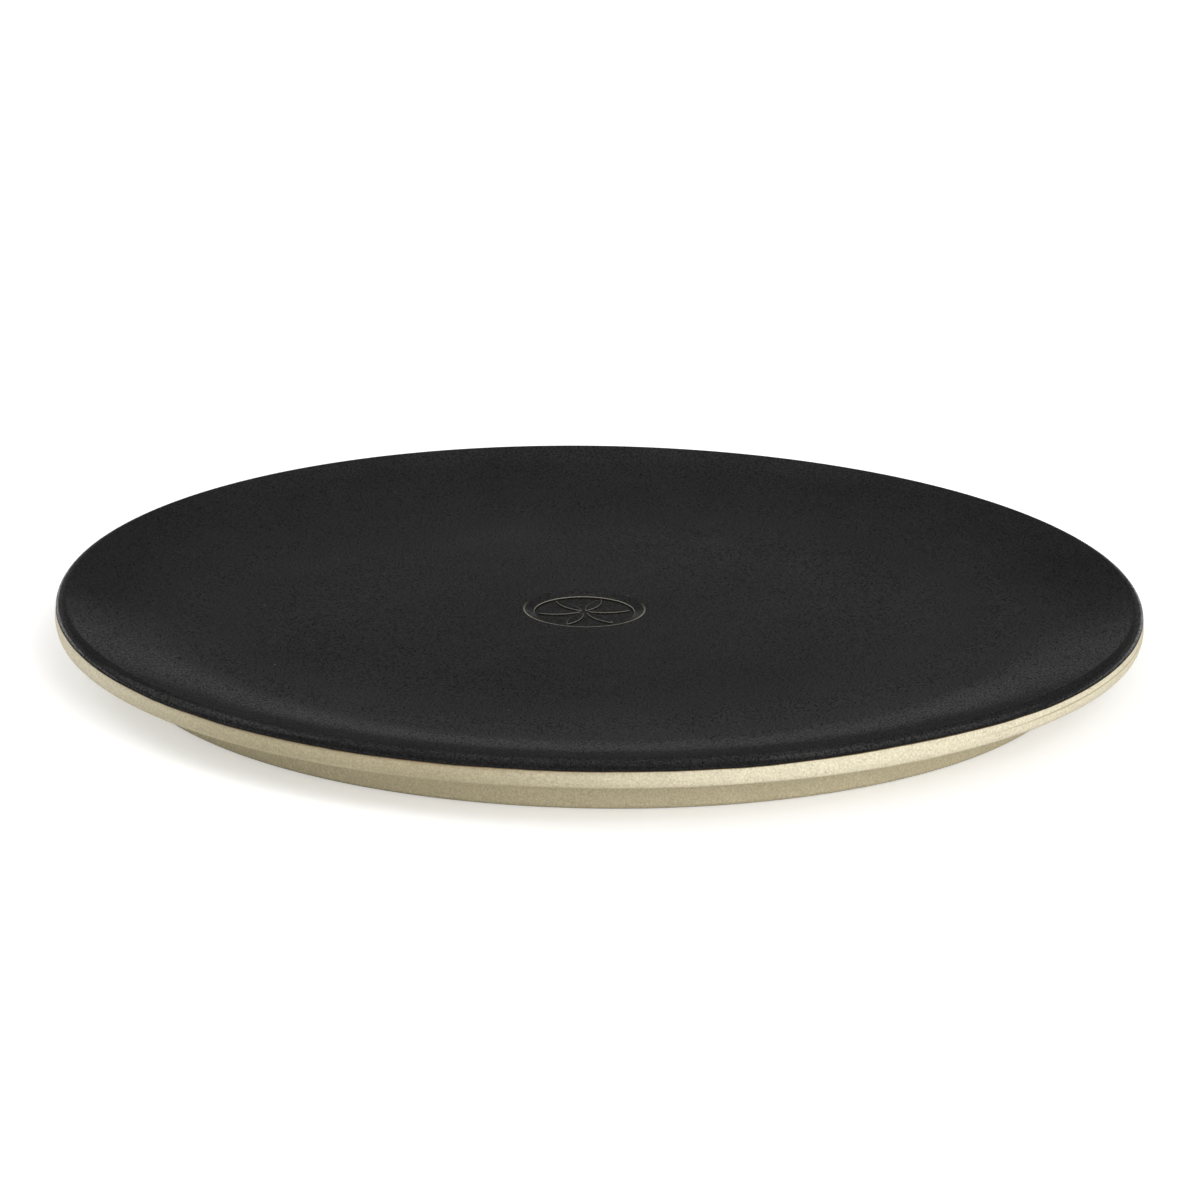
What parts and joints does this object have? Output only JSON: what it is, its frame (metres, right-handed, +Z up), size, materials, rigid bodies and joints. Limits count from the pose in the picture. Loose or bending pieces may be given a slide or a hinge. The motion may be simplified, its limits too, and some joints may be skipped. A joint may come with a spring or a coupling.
{
  "type": "pizza stone",
  "caption": "Round dished baking stone of bare fired clay with a black glazed top, a raised rim, a stepped standing ring underneath and a pressed rosette in the floor.",
  "frame": {"origin": "centre of the standing ring, on the surface that the stone rests on", "axes": "+Z up along the stone's axis, +X to the right and +Y away from the viewer of the picture, with the rosette 5.2 mm off the axis towards -X"},
  "size_m": [0.37, 0.37, 0.0236],
  "materials": {
    "bare_clay": "matte, sandy",
    "black_glaze": "satin black"
  },
  "bodies": {
    "root": {"clay_body": "bare_clay", "glaze_coat": "black_glaze"}
  },
  "joints": []
}
